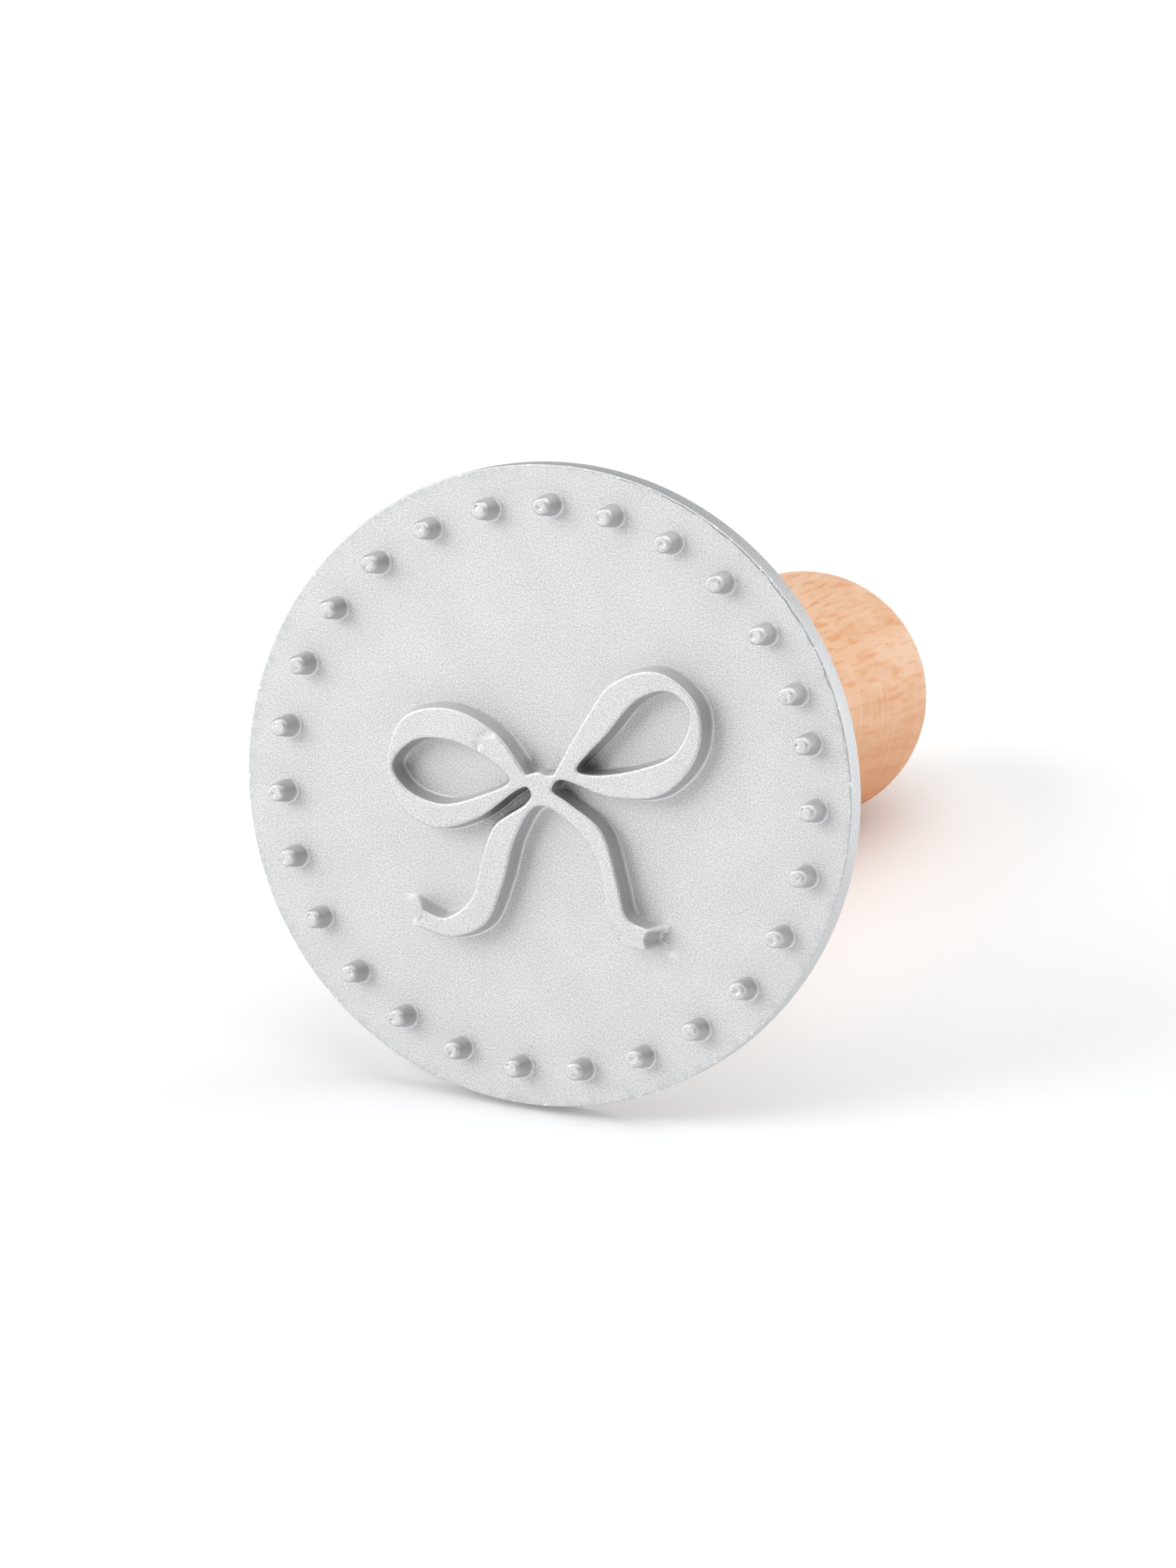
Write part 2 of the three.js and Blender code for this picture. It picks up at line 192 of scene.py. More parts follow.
# Painted shade: the narrow slots, the foot of crowded walls and the pits' bottoms go dark grey, in
# specks that follow the grit.
patchy = add(tree, "MapRange", {
    "Value": grit, "From Min": 0.3, "From Max": 0.7, "To Min": 1.4, "To Max": 0.35})
speckled_shade = add(tree, "Math", {0: painted_shade, 1: patchy}, operation="MULTIPLY", use_clamp=True)
skin = add(tree, "Mix", {"Factor": speckled_shade, "A": skin, "B": linear("#555553")}, data_type="RGBA")
print("finish numbers at each point:", FINISH_AND_PAINTED_LIGHT)

# %% [markdown]
# On the upper right the edge of the disc has a thin fin of flash, where metal crept between the halves
# of the mould, and a thin dark line in its shade. The fin could be a raised thread of mesh, but it is
# only a tenth of a millimetre wide, so it is left out and only its shade is drawn, as a painted shadow:
# the points whose distance from the axis, plus a wandering noise, equals the edge's radius.

# %% Painted shadow of the flash at the edge
EDGE_RADIUS_MM = 34.72
FLASH_HALF_WIDTH_MM = 0.05
FLASH_WANDER_MM = 0.3
FLASH_WAVE_MM = 2.2
FLASH_WAY = (0.66, 0.75, 0)
FLASH_FROM_MM, FLASH_FULL_MM = 25.0, 34.0
BEHIND_MM, IN_FRONT_MM = -0.3, -0.1
from_axis = add(tree, "VectorMath", {0: place, 1: (1, 1, 0)}, operation="MULTIPLY")
from_axis = add(tree, "VectorMath", {0: from_axis}, out="Value", operation="LENGTH")
out_of_face = add(tree, "SeparateXYZ", {"Vector": place}, out="Z")
front = add(tree, "MapRange", {
    "Value": out_of_face, "From Min": BEHIND_MM, "From Max": IN_FRONT_MM})
towards = add(tree, "VectorMath", {0: place, 1: FLASH_WAY}, out="Value", operation="DOT_PRODUCT")
sector = add(tree, "MapRange", {
    "Value": towards, "From Min": FLASH_FROM_MM, "From Max": FLASH_FULL_MM})
wave = add(tree, "TexNoise", {"Vector": place, "Scale": 1 / FLASH_WAVE_MM, "Detail": 3.0})
wander = add(tree, "MapRange", {
    "Value": wave, "To Min": -FLASH_WANDER_MM, "To Max": FLASH_WANDER_MM})
wander = add(tree, "Math", {0: from_axis, 1: wander}, operation="ADD")
flash_shadow = add(tree, "Math", {0: wander, 1: EDGE_RADIUS_MM, 2: FLASH_HALF_WIDTH_MM}, operation="COMPARE")
breaks = add(tree, "MapRange", {"Value": wave, "From Min": 0.4, "From Max": 0.5, "To Min": 0.15})
for share in (sector, front, breaks):
    flash_shadow = add(tree, "Math", {0: flash_shadow, 1: share}, operation="MULTIPLY")
flash_pixels = 2 * FLASH_HALF_WIDTH_MM * PIXELS_PER_MM
print("the flash is", round(flash_pixels, 1), "pixels wide in a picture 1500 wide")

# %% [markdown]
# Here and there the edge was knocked and shows bright metal. Each nick could be cut into the mesh,
# but they are shallow and only their shine is seen, so they are the peaks of a noise in a narrow band
# along the edge. The last nodes are the metal itself. Blasting makes it rough, so it has no clear
# reflections, and its dents are a bump a twentieth of a millimetre deep.

# %% Nicks, and the aluminium's surface
NICK_MM = 0.6
NICK_BAND_MM = 0.1
DENT_DEPTH_MM = 0.05
band = add(tree, "MapRange", {
    "Value": from_axis, "From Min": EDGE_RADIUS_MM - NICK_BAND_MM, "From Max": EDGE_RADIUS_MM})
band = add(tree, "Math", {0: band, 1: front}, operation="MULTIPLY")
nick = add(tree, "TexNoise", {"Vector": place, "Scale": 1 / NICK_MM, "Detail": 0.0})
nick = add(tree, "MapRange", {"Value": nick, "From Min": 0.7, "From Max": 0.74, "To Max": 0.8})
nick = add(tree, "Math", {0: nick, 1: band}, operation="MULTIPLY")
# Painted shadow: the dark line where the flash fin shades the edge.
skin = add(tree, "Mix", {"Factor": flash_shadow, "A": skin, "B": linear("#858687")}, data_type="RGBA")
skin = add(tree, "Mix", {"Factor": nick, "A": skin, "B": linear("#FBFBFB")}, data_type="RGBA")
rough = add(tree, "MapRange", {"Value": on_wall, "To Min": 0.62, "To Max": 0.48})
dent = add(tree, "MapRange", {"Value": on_wall, "To Min": 0.55, "To Max": 0.35})
bump = add(tree, "Bump", {"Height": grit, "Strength": dent, "Distance": DENT_DEPTH_MM * MM})
shader = add(tree, "BsdfPrincipled", {
    "Base Color": skin, "Metallic": 1.0, "Roughness": rough, "Normal": bump})
add(tree, "OutputMaterial", {"Surface": shader})
print("aluminium has", len(tree.nodes), "nodes")

# %% [markdown]
# The handle is beech, turned on a lathe. Its grain runs along the stamp's axis. A photograph of beech
# could be used, but it would show a seam somewhere on a round end. Noise in three dimensions has no
# seam, and it is stretched along the axis: long soft bands for the growth rings and short flecks for
# the rays. Real pores are under a tenth of a millimetre wide and sanding marks are finer still, so
# both are drawn two to four pixels wide in order to show.

# %% Grain of the beech
RING_MM = (2.6, 2.6, 30)
FLECK_MM = (0.6, 0.6, 4)
PORE_MM = (0.2, 0.2, 1.3)
SANDING_MM = (8, 8, 0.3)
MOTTLE_MM = (5, 5, 6)
beech, tree, place = new_material("oiled_beech")
rings, flecks, pores, sanding, mottle = (
    add(tree, "TexNoise", {
        "Vector": add(tree, "Mapping", {"Vector": place, "Scale": 1 / np.array(lengths)}),
        "Scale": 1.0, "Detail": detail})
    for lengths, detail in (
        (RING_MM, 2), (FLECK_MM, 0), (PORE_MM, 0), (SANDING_MM, 1), (MOTTLE_MM, 2)))
rings = add(tree, "MapRange", {"Value": rings, "From Min": 0.35, "From Max": 0.65})
mottle = add(tree, "MapRange", {"Value": mottle, "From Min": 0.4, "From Max": 0.7, "To Max": 0.7})
flecks = add(tree, "MapRange", {"Value": flecks, "From Min": 0.5, "From Max": 0.8, "To Max": 0.65})
pores = add(tree, "MapRange", {"Value": pores, "From Min": 0.76, "From Max": 0.84, "To Max": 0.35})
sanding = add(tree, "MapRange", {
    "Value": sanding, "From Min": 0.58, "From Max": 0.74, "To Max": 0.34})
print("pores are", round(PORE_MM[0] * PIXELS_PER_MM, 1), "pixels wide in a picture 1500 wide")

# %% [markdown]
# Oil darkens and warms the wood and leaves a satin shine, a little duller on the late wood of the rings.
# The side that lies low is made darker and more orange: painted shade. The layers could be painted on,
# but mixed one after another, from the widest pattern to the finest, each can be set by one colour.

# %% Colour of the oiled beech
HIGH_SIDE_MM, LOW_SIDE_MM = 7, -12
FLECK_DEPTH_MM = 0.03
painted_low_shade = add(tree, "SeparateXYZ", {"Vector": place}, out="Y")
painted_low_shade = add(tree, "MapRange", {
    "Value": painted_low_shade, "From Min": HIGH_SIDE_MM, "From Max": LOW_SIDE_MM})
wood = add(tree, "Mix", {"Factor": rings, "A": linear("#E5BA97"), "B": linear("#DCA981")},
           data_type="RGBA")
wood = add(tree, "Mix", {"Factor": mottle, "A": wood, "B": linear("#E6C1A2")}, data_type="RGBA")
# Painted shade: the low side is multiplied to a darker, more orange colour.
wood = add(tree, "Mix", {"Factor": painted_low_shade, "A": wood, "B": linear("#EAB66C")},
           data_type="RGBA", blend_type="MULTIPLY")
wood = add(tree, "Mix", {"Factor": sanding, "A": wood, "B": linear("#E8CDB4")}, data_type="RGBA")
wood = add(tree, "Mix", {"Factor": flecks, "A": wood, "B": linear("#D68F57")}, data_type="RGBA")
wood = add(tree, "Mix", {"Factor": pores, "A": wood, "B": linear("#9F6C44")}, data_type="RGBA")
satin = add(tree, "MapRange", {"Value": rings, "To Min": 0.42, "To Max": 0.52})
bump = add(tree, "Bump", {"Height": flecks, "Strength": 0.1, "Distance": -FLECK_DEPTH_MM * MM})
shader = add(tree, "BsdfPrincipled", {"Base Color": wood, "Roughness": satin, "Normal": bump})
add(tree, "OutputMaterial", {"Surface": shader})
print("beech has", len(tree.nodes), "nodes")

# %% [markdown]
# The stud and the washer are steel with a thin bright coat of zinc from a bath, fairly smooth and
# a little uneven in its shine. One plain metal colour would do from afar. A faint noise makes the coat
# less perfect in a close view. Its real crystals are far too fine to see, so they are drawn a third
# of a millimetre across.

# %% Zinc-plated steel
CRYSTAL_MM = 0.35
zinc, tree, place = new_material("zinc_plated_steel")
crystal = add(tree, "TexNoise", {"Vector": place, "Scale": 1 / CRYSTAL_MM, "Detail": 1.0})
crystal = add(tree, "MapRange", {"Value": crystal, "From Min": 0.3, "From Max": 0.7})
coat = add(tree, "Mix", {"Factor": crystal, "A": linear("#B9BEC2"), "B": linear("#CDD1D3")},
           data_type="RGBA")
gloss = add(tree, "MapRange", {"Value": crystal, "To Min": 0.24, "To Max": 0.36})
shader = add(tree, "BsdfPrincipled", {"Base Color": coat, "Metallic": 1.0, "Roughness": gloss})
add(tree, "OutputMaterial", {"Surface": shader})
print("zinc has", len(tree.nodes), "nodes")

# %% [markdown]
# The bow is drawn as its top edges: a few points along each edge and a smooth curve through them, as
# a pattern maker lays a bent strip along pins. Blender's Bezier curves would need two handles at every
# point. A Catmull-Rom curve finds its slopes from the neighbouring points, so the points are enough.

# %% Smooth curves through points
OUTLINE_STEP = 0.18


def evenly(points, step):
    """Points along a line at equal distances, from its first point to its last."""
    gone = np.concatenate([[0], np.cumsum(np.linalg.norm(np.diff(points, axis=0), axis=1))])
    at = np.linspace(0, gone[-1], max(2, round(gone[-1] / step) + 1))
    return np.stack([np.interp(at, gone, points[:, k]) for k in (0, 1)], axis=1)


def through(points, closed=False, per_span=40):
    """A centripetal Catmull-Rom curve: each span is a cubic that passes through two points, with
    slopes from their neighbours, weighted by the square roots of the distances between them."""
    p = np.array(points, float)
    if closed:
        p = np.vstack([p[-1], p, p[:2]])
    else:
        p = np.vstack([2 * p[0] - p[1], p, 2 * p[-1] - p[-2]])
    gaps = np.sqrt(np.linalg.norm(np.diff(p, axis=0), axis=1))[:, None]
    slope = np.diff(p, axis=0) / gaps
    tangent = slope[:-1] + slope[1:] - (p[2:] - p[:-2]) / (gaps[:-1] + gaps[1:])
    start, end = p[1:-2], p[2:-1]
    leave, reach = tangent[:-1] * gaps[1:-1], tangent[1:] * gaps[1:-1]
    t = np.linspace(0, 1, per_span + 1)[:, None, None]
    curve = (start * (2 * t**3 - 3 * t**2 + 1) + leave * (t**3 - 2 * t**2 + t)
             + end * (3 * t**2 - 2 * t**3) + reach * (t**3 - t**2))
    return evenly(curve.transpose(1, 0, 2).reshape(-1, 2), OUTLINE_STEP)


knot_top = through([(1.6, 1.9), (0.7, 1.7), (-0.1, 1.9), (-1.5, 1.4)])
print("the knot's top edge has", len(knot_top), "points,", OUTLINE_STEP, "mm apart")

# %% [markdown]
# The drawing has one outline, from the left loop round both tails and the right loop to the knot,
# and two openings in the loops. The notches at the tails' ends are straight cuts with sharp corners.
# Loops could be bent from a ribbon of even width, but a cast bow swells and narrows as it was carved,
# so its two sides are drawn apart.

# %% The bow's drawing
LEFT_LOOP_AND_TAIL = [
    (-1.5, 1.4), (-5.6, 5.4), (-11.3, 7.2), (-16.3, 5.5), (-17.7, 0.2), (-15.4, -4.4),
    (-11.2, -5.9), (-6.6, -4.1), (-2.4, -0.4), (-1.3, 0.1), (-0.7, -0.7), (-1.3, -1.8),
    (-4.6, -4.7), (-5.7, -8.5), (-6.5, -13), (-9.3, -15.55), (-12.1, -15.05)]
LEFT_NOTCH = [(-12.1, -15.05), (-11.7, -15.95), (-12.6, -16.75)]
BETWEEN_TAILS = [
    (-12.6, -16.75), (-11.2, -17.2), (-8.4, -17.5), (-4.6, -15.5), (-3, -10.8), (-2, -5.4),
    (-0.3, -2), (1.3, -1.7), (5.3, -4), (7.9, -7.4), (9.3, -12.2), (11.3, -15.1), (14.2, -15.4)]
RIGHT_NOTCH = [(14.2, -15.4), (13.7, -14.2), (14.2, -13.1)]
RIGHT_TAIL_AND_LOOP = [
    (14.2, -13.1), (11.7, -12.4), (10.1, -8.6), (7.7, -3.4), (3.6, -0.9), (1.6, 0.2),
    (2.2, 1.4), (8.4, 0.5), (14.2, 1.7), (17.7, 6.4), (17.2, 11.7), (12.3, 14.7),
    (7.3, 12.8), (4.6, 8.5), (1.6, 1.9)]
LEFT_OPENING = [
    (-17, 0.2), (-14.9, 3.1), (-11, 3.8), (-6.6, 2.7), (-3.4, 0.5), (-6.3, -1.5), (-10.9, -3.2),
    (-15.2, -2.2)]
RIGHT_OPENING = [
    (4.2, 2.8), (7.2, 7.2), (10.6, 11.7), (13.9, 12.8), (16.4, 10.8), (15.2, 6.4), (11, 3.9),
    (5.6, 2.5)]


def closed_line(*edges):
    """Edges that follow each other as one closed ring, each without its last point."""
    return np.vstack([edge[:-1] for edge in edges])


left_notch, right_notch = (
    evenly(np.array(notch), OUTLINE_STEP) for notch in (LEFT_NOTCH, RIGHT_NOTCH))
bow_ring = closed_line(
    through(LEFT_LOOP_AND_TAIL), left_notch, through(BETWEEN_TAILS), right_notch,
    through(RIGHT_TAIL_AND_LOOP), knot_top)
opening_rings = [closed_line(through(ring, closed=True)) for ring in (LEFT_OPENING, RIGHT_OPENING)]
drawing = np.vstack([bow_ring, *opening_rings])
print("outline points:", len(bow_ring), [len(ring) for ring in opening_rings])

# %% [markdown]
# The bow's wall has one profile all along. Its top rolls over a small radius, and it leans out by the
# draft that lets a casting leave its mould. At its foot is a fine ledge, left where the mould's second
# cut sat a little to one side of the first. An extrusion with a bevel would give the roll but no draft
# or ledge, so the profile is drawn as a line of points.

# %% The wall's profile
BOW_HEIGHT = 2.7
BOW_DRAFT = 0.4
BOW_ROUNDING = (0.34, 0.24)
WALL_FADE = 0.24
FOOT_SHARE = 0.5
LEDGE_HEIGHT = 0.2
LEDGE_WIDTH = 0.15
LEDGE_EDGE = 0.06
LEDGE_TOE = 1.5
# LEDGE_SHINE is a painted highlight along the ledge's brink.
LEDGE_SHINE = (0.6, 1, 1, 1, 0.6)
ROLL_STEPS, WALL_STEPS, BRINK_STEPS = 9, 5, 3
HAIR = 1e-6


def arc(centre, radius, start, end, steps):
    """Points of a circle's arc, from one angle to another in degrees."""
    angle = np.radians(np.linspace(start, end, steps + 1))
    return np.array(centre) + radius * np.stack([np.cos(angle), np.sin(angle)], axis=1)


def wall_profile(height, draft, rounding):
    """Distances from the drawn edge and heights, from the flat top down to the face: a quarter of an
    ellipse, a straight leaning wall, a level ledge and a low step. The wall's share is one on the wall
    and none on the flats, and the edge's share, a painted highlight, is one on the ledge."""
    inward, down = rounding
    roll = arc((0, 0), 1, 90, 0, ROLL_STEPS) * rounding
    top = roll + (draft * down / height - inward, height - down)
    foot = np.array([draft, LEDGE_HEIGHT])
    middle = top[-1] + (foot - top[-1]) * np.linspace(0, 1, WALL_STEPS + 1)[1:, None]
    brink = foot + (LEDGE_WIDTH - LEDGE_EDGE, -LEDGE_EDGE)
    toe = brink + (LEDGE_EDGE * LEDGE_TOE, LEDGE_EDGE - LEDGE_HEIGHT)
    line = np.vstack([top, middle, arc(brink, LEDGE_EDGE, 90, 0, BRINK_STEPS), toe])
    wall = np.clip((height - line[:, 1]) / WALL_FADE, 0, 1) * (line[:, 0] < draft + HAIR)
    wall[len(top) + len(middle) - 1] = FOOT_SHARE
    edge = np.zeros(len(line))
    edge[-1 - len(LEDGE_SHINE):-1] = LEDGE_SHINE
    return line, wall, edge


bow_profile = wall_profile(BOW_HEIGHT, BOW_DRAFT, BOW_ROUNDING)
print("the wall reaches", round(float(bow_profile[0][:, 0].max()), 2), "mm past the drawn edge")

# %% [markdown]
# The ledge shows only on walls that face one way, so it has to fade out round the bow. It could be cut
# off and capped, but that would leave steps. Its width is scaled by how far each wall faces the
# ledge's side. Corners are mitred, as in a picture frame, so that both sides keep their distance.

# %% Which way the walls face
LEDGE_SIDE = np.array([0.95, -0.3])
OPENING_LEDGE_SIDE = np.array([0.85, 0.5])
LEDGE_SHARPNESS = 3
LEDGE_START = 0.5
LONGEST_MITRE = 2.2


def ledged(line, draft, heading, side):
    """A profile's distances for each heading: the part beyond the wall, which is the ledge, fades away
    where the wall doesn't face the ledge's side."""
    facing = np.clip(heading @ side * LEDGE_SHARPNESS - LEDGE_START, 0, 1)
    return np.minimum(line[:, :1], draft) + np.maximum(line[:, :1] - draft, 0) * facing, facing


def turning(ring):
    """One for a ring that runs anticlockwise and minus one for the other way: the sign of its area,
    which is the sum of every point's cross product with the next."""
    x, y = ring.T
    return np.sign(np.sum(x * np.roll(y, -1) - y * np.roll(x, -1)))


def outward(ring, hole):
    """The mitre at each point of a closed ring, and its stretch: the sum of its two neighbours'
    normals at length one, and how far it has to go for each side to move by one."""
    side = np.roll(ring, -1, axis=0) - ring
    normal = np.stack([side[:, 1], -side[:, 0]], axis=1)
    normal *= turning(ring) * (-1 if hole else 1) / np.linalg.norm(normal, axis=1, keepdims=True)
    mitre = normal + np.roll(normal, 1, axis=0)
    mitre /= np.linalg.norm(mitre, axis=1, keepdims=True)
    return mitre, np.minimum(1 / np.maximum(np.sum(mitre * normal, axis=1), HAIR), LONGEST_MITRE)


bow_mitre, bow_stretch = outward(bow_ring, hole=False)
print("the longest mitre is stretched by", round(float(bow_stretch.max()), 2))

# %% [markdown]
# In the slots at the knot two walls come close, and full profiles would cross. They could be cut with a
# Boolean, but its ragged triangles would show in the shine. Instead each wall asks how large a circle
# fits beside it. The profile is narrowed so that two walls meet at most halfway, and places with little
# room are marked as deep, where the metal gets painted shade.

# %% Room beside a wall
DEEP_ROOM = 1.25
NEARBY = range(-6, 7)


def free_radius(ring, heading, crowd):
    """The radius of the smallest circle that touches the ring at each point, on the side that it heads
    for, and passes through another drawn point: half the squared distance over the distance ahead. The
    least value nearby counts, and then an average smooths it."""
    across = crowd[None] - ring[:, None]
    ahead = np.einsum("ijk,ik->ij", across, heading)
    radius = np.where(ahead > HAIR, np.sum(across**2, axis=2) / np.maximum(2 * ahead, HAIR), np.inf)
    room = np.minimum(radius.min(axis=1), 2 * DEEP_ROOM)
    least = np.min([np.roll(room, k) for k in NEARBY], axis=0)
    return np.mean([np.roll(least, k) for k in NEARBY], axis=0)


narrowest = free_radius(bow_ring, bow_mitre, drawing).min()
print("the narrowest slot takes a circle of", round(float(narrowest), 2), "mm radius")

# %% [markdown]
# A piece is a list of patches. Most patches are grids: rows and columns of points, each four of which
# make a face. The bow's wall is such a grid, with a row for each point of the profile and a column for
# each point of the drawing. Blender can sweep a profile along a curve by itself, but it can't narrow
# it in the slots or lean it at the tails.

# %% A profile carried round a ring
ROOM_SHARE = 0.93
OPENING_DEEP_SHARE = 0.7
KNOT_NOTCHES = [(-1.3, 2), (0, 2), (1.6, 2.2)]
# Near these places the painted shade is held back.
UNSHADED_PLACES = np.array([*LEFT_NOTCH, *RIGHT_NOTCH, *KNOT_NOTCHES])
UNSHADED_WIDTH = 1.6


def grid(points, **finish_and_light):
    """A patch whose points form rows and columns: each four neighbours make one face."""
    rows, columns = points.shape[:2]
    first = (np.arange(rows - 1)[:, None] * columns + np.arange(columns - 1)).ravel()
    faces = np.stack([first, first + 1, first + columns + 1, first + columns], axis=1)
    ones = np.ones(points.shape[:2])
    return {"points": points.reshape(-1, 3), "faces": faces,
            **{label: (ones * finish_and_light.get(label, 0.0)).ravel() for label in FINISH_AND_PAINTED_LIGHT}}


def near(points, places, width):
    """A bell curve round each place: one there, and falling with the squared distance over the squared
    width."""
    return np.exp(-np.sum((points[:, None] - places) ** 2, axis=2) / width**2)


def carried(ring, profile, draft, hole=False, lean=0.0, arris=0.0):
    """The wall that a profile makes when it is carried round a ring: each point moves along its mitre by
    the profile's distance. The lean is added in full at the foot and in proportion above it, and an
    arris is a corner that gets a painted highlight all the way down. Returns the patch, the rings on the
    flat top and on the face, and how deep the last lies in a narrow place, which sets its painted shade."""
    line, wall, edge = profile
    mitre, stretch = outward(ring, hole)
    room_out, room_in = (free_radius(ring, way * mitre, drawing) for way in (1, -1))
    out_share = np.minimum(1, ROOM_SHARE * room_out / (line[:, 0].max() * stretch))
    in_share = np.minimum(1, ROOM_SHARE * room_in / (-line[:, 0].min() * stretch))
    reach, facing = ledged(line, draft, mitre, OPENING_LEDGE_SIDE if hole else LEDGE_SIDE)
    distance = reach * np.where(line[:, :1] > 0, out_share, in_share) * stretch
    fallen = 1 - np.clip(line[:, 1] / line[0, 1], 0, 1)
    # Painted shade: walls in narrow places are marked deep, most at their foot, except near the notches.
    unshaded = near(ring, UNSHADED_PLACES, UNSHADED_WIDTH).max(axis=1)
    deep = np.clip(1 - room_out / DEEP_ROOM, 0, 1) * (1 - unshaded) * (OPENING_DEEP_SHARE if hole else 1)
    flat = ring + distance[:, :, None] * mitre + fallen[:, None, None] * lean
    heights = np.broadcast_to(line[:, 1][:, None, None], (*flat.shape[:2], 1))
    finish_and_light = {
        "wall": wall[:, None] * (1 - arris) * np.ones(len(ring)),
        "edge": np.maximum(edge[:, None] * facing, arris),
        "deep": fallen[:, None] * deep}
    stacked = np.concatenate([flat, heights, *(v[:, :, None] for v in finish_and_light.values())], axis=2)
    closed = np.concatenate([stacked, stacked[:, :1]], axis=1)
    if turning(ring) * (-1 if hole else 1) > 0:
        closed = closed[:, ::-1]
    patch = grid(closed[:, :, :3], **{label: closed[:, :, 3 + k] for k, label in enumerate(finish_and_light)})
    return patch, flat[0], flat[-1], deep


openings = [carried(ring, bow_profile, BOW_DRAFT, hole=True) for ring in opening_rings]
print("walls of the openings:", [len(patch["faces"]) for patch, _, _, _ in openings], "faces")

# %% [markdown]
# At the tails' ends the walls lean out much further than the draft, each corner in its own direction,
# and the sharp corners get a painted highlight. The corners could be pulled out by hand in edit mode.
# Here each has a lean that fades away along the wall by a bell curve, so it can be tuned by two numbers.

# %% The leaning ends of the tails
TAIL_LEAN = [(-1.8, 0.75), (-1.0, 0.1), (-0.7, -0.1), (1.0, 0.2), (1.05, 0.2), (0.9, 0.0)]
TAIL_LEAN_WIDTH = 0.6
ARRIS_WIDTH = 0.16
OUTER_CORNERS = [0, 2, 3, 5]
tail_corners = np.array(LEFT_NOTCH + RIGHT_NOTCH)
near_corner = near(bow_ring, tail_corners, TAIL_LEAN_WIDTH)
near_corner /= np.maximum(near_corner.sum(axis=1, keepdims=True), 1)
lean = near_corner @ np.array(TAIL_LEAN)
# The arris share is a painted highlight down the tails' outer corners.
arris = near(bow_ring, tail_corners[OUTER_CORNERS], ARRIS_WIDTH).max(axis=1)
bow_wall, bow_top, bow_foot, bow_deep = carried(
    bow_ring, bow_profile, BOW_DRAFT, lean=lean, arris=arris)
print("the greatest lean is", round(float(np.linalg.norm(lean, axis=1).max()), 2), "mm")

# %% [markdown]
# The flat top of the bow and the floors of its openings are figures with curved borders. Blender can
# fill a border with one many-sided face, but that can't hold a dent or carry the numbers for the finish,
# the painted highlight and the painted shade inwards. So they are cut into small triangles by Delaunay's
# rule, with loose points in between.

# %% Flat figures cut into triangles
FLAT_STEP = 1.3
BOW_STEP = 0.3
TOUCHING = 0.002 * MM
ALL_TRIANGLES = 0


def inside(points, ring):
    """The even-odd rule: a point is inside a ring if a line to its right crosses the ring an odd number
    of times."""
    (x0, y0), (x1, y1) = ring.T[:, :, None], np.roll(ring, -1, axis=0).T[:, :, None]
    x, y = points.T
    crossing = x0 + (y - y0) * (x1 - x0) / np.where(y1 == y0, 1, y1 - y0)
    return np.sum(((y0 > y) != (y1 > y)) & (x < crossing), axis=0) % 2 == 1


def filled(rings, height, up=True, deep=(), step=FLAT_STEP):
    """A flat patch at one height, cut into triangles by Delaunay's rule: the first ring is its outside,
    the others are holes, and loose points on a square lattice keep the triangles small. Painted shade
    for narrow places is given for the points of the last ring, and all others have none."""
    low, high = rings[0].min(axis=0), rings[0].max(axis=0)
    sides = [np.arange(start, end, step) for start, end in zip(low, high)]
    lattice = np.stack(np.meshgrid(*sides), axis=-1).reshape(-1, 2)
    lattice = lattice[np.sum([inside(lattice, ring) for ring in rings], axis=0) == 1]
    ends = np.cumsum([len(ring) for ring in rings])
    after = np.arange(1, ends[-1] + 1)
    after[ends - 1] = ends - [len(ring) for ring in rings]
    borders = np.stack([np.arange(ends[-1]), after], axis=1)
    points, _, faces, source, _, _ = delaunay_2d_cdt(
        np.vstack([*rings, lattice]).tolist(), borders.tolist(), [], ALL_TRIANGLES, TOUCHING)
    points, faces = np.array(points), np.array(faces)
    source = np.array([ids[0] if ids else -1 for ids in source])
    middles = points[faces].mean(axis=1)
    faces = faces[np.sum([inside(middles, ring) for ring in rings], axis=0) == 1]
    used, faces = np.unique(faces, return_inverse=True)
    points, source, faces = points[used], source[used], faces.reshape(-1, 3)
    a, b, c = (points[faces[:, k]] for k in range(3))
    (abx, aby), (acx, acy) = (b - a).T, (c - a).T
    faces = np.where(((abx * acy > aby * acx) == up)[:, None], faces, faces[:, ::-1])
    flat = np.zeros(len(points))
    depth = np.concatenate([np.zeros(ends[-1] - len(deep)), deep, np.zeros(len(lattice) + 1)])
    return {"points": np.pad(points, ((0, 0), (0, 1)), constant_values=height), "faces": faces,
            "wall": flat, "edge": flat, "deep": depth[source]}


opening_tops = [top for _, top, _, _ in openings]
bow_patches = [bow_wall, filled([bow_top, *opening_tops], BOW_HEIGHT, step=BOW_STEP)]
for opening_wall, _, opening_foot, opening_deep in openings:
    bow_patches += [opening_wall, filled([opening_foot], 0, deep=opening_deep)]
print("the bow's top has", len(bow_patches[1]["faces"]), "triangles")

# %% [markdown]
# The top of the left loop was knocked twice and keeps two shallow dents. A bump in the material would
# be less work, but dents catch the light and their rims move with the view, so they are real hollows:
# the points near each knock sink by a bell curve.

